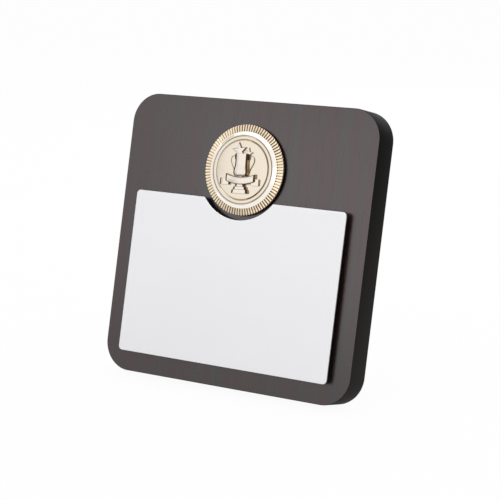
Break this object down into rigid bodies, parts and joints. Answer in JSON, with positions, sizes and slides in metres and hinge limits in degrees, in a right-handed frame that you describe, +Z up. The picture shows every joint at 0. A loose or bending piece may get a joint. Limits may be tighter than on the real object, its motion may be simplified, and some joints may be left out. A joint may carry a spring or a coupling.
{
  "type": "award plaque",
  "caption": "Square dark-stained award plaque, leaning on a folding easel strut, with a floating metal plate notched round a reeded gold medal with a cup emblem.",
  "frame": {"origin": "middle of the bounding box, on the surface that the plaque stands on", "axes": "+X to the viewer's right, +Y from the front towards the back, +Z up; the board leans back about 13 degrees"},
  "size_m": [0.178, 0.0768, 0.1773],
  "materials": {
    "stained_veneer": "satin, espresso stain on a fine upright grain",
    "satin_plate": "satin white-silver",
    "gold_plating": "pale champagne gold plating, polished",
    "black_nylon": "matte black",
    "foam_pad": "matte black closed-cell foam",
    "stained_strut": "espresso stain, satin",
    "hinge_brass": "rolled brass, lightly brushed",
    "screw_brass": "plain brass"
  },
  "bodies": {
    "plaque": {"backing_board": "stained_veneer", "face_plate": "satin_plate", "plate_spacer_lower_left": "black_nylon", "plate_spacer_lower_right": "black_nylon", "plate_spacer_upper_left": "black_nylon", "plate_spacer_upper_right": "black_nylon", "medal_pad": "foam_pad", "medal_rim": "gold_plating", "medal_insert": "gold_plating", "hinge_leaf_board": "hinge_brass", "hinge_pin": "hinge_brass", "board_screw_left": "screw_brass", "board_screw_right": "screw_brass"},
    "strut": {"easel_strut": "stained_strut", "hinge_leaf_strut": "hinge_brass", "strut_screw_left": "screw_brass", "strut_screw_right": "screw_brass"}
  },
  "joints": [
    {"name": "strut_fold", "type": "hinge", "parent": "plaque", "child": "strut", "pos_m": [0, 0.00937, 0.10838], "axis": [-1, 0, 0], "range_deg": [0, 26]}
  ]
}
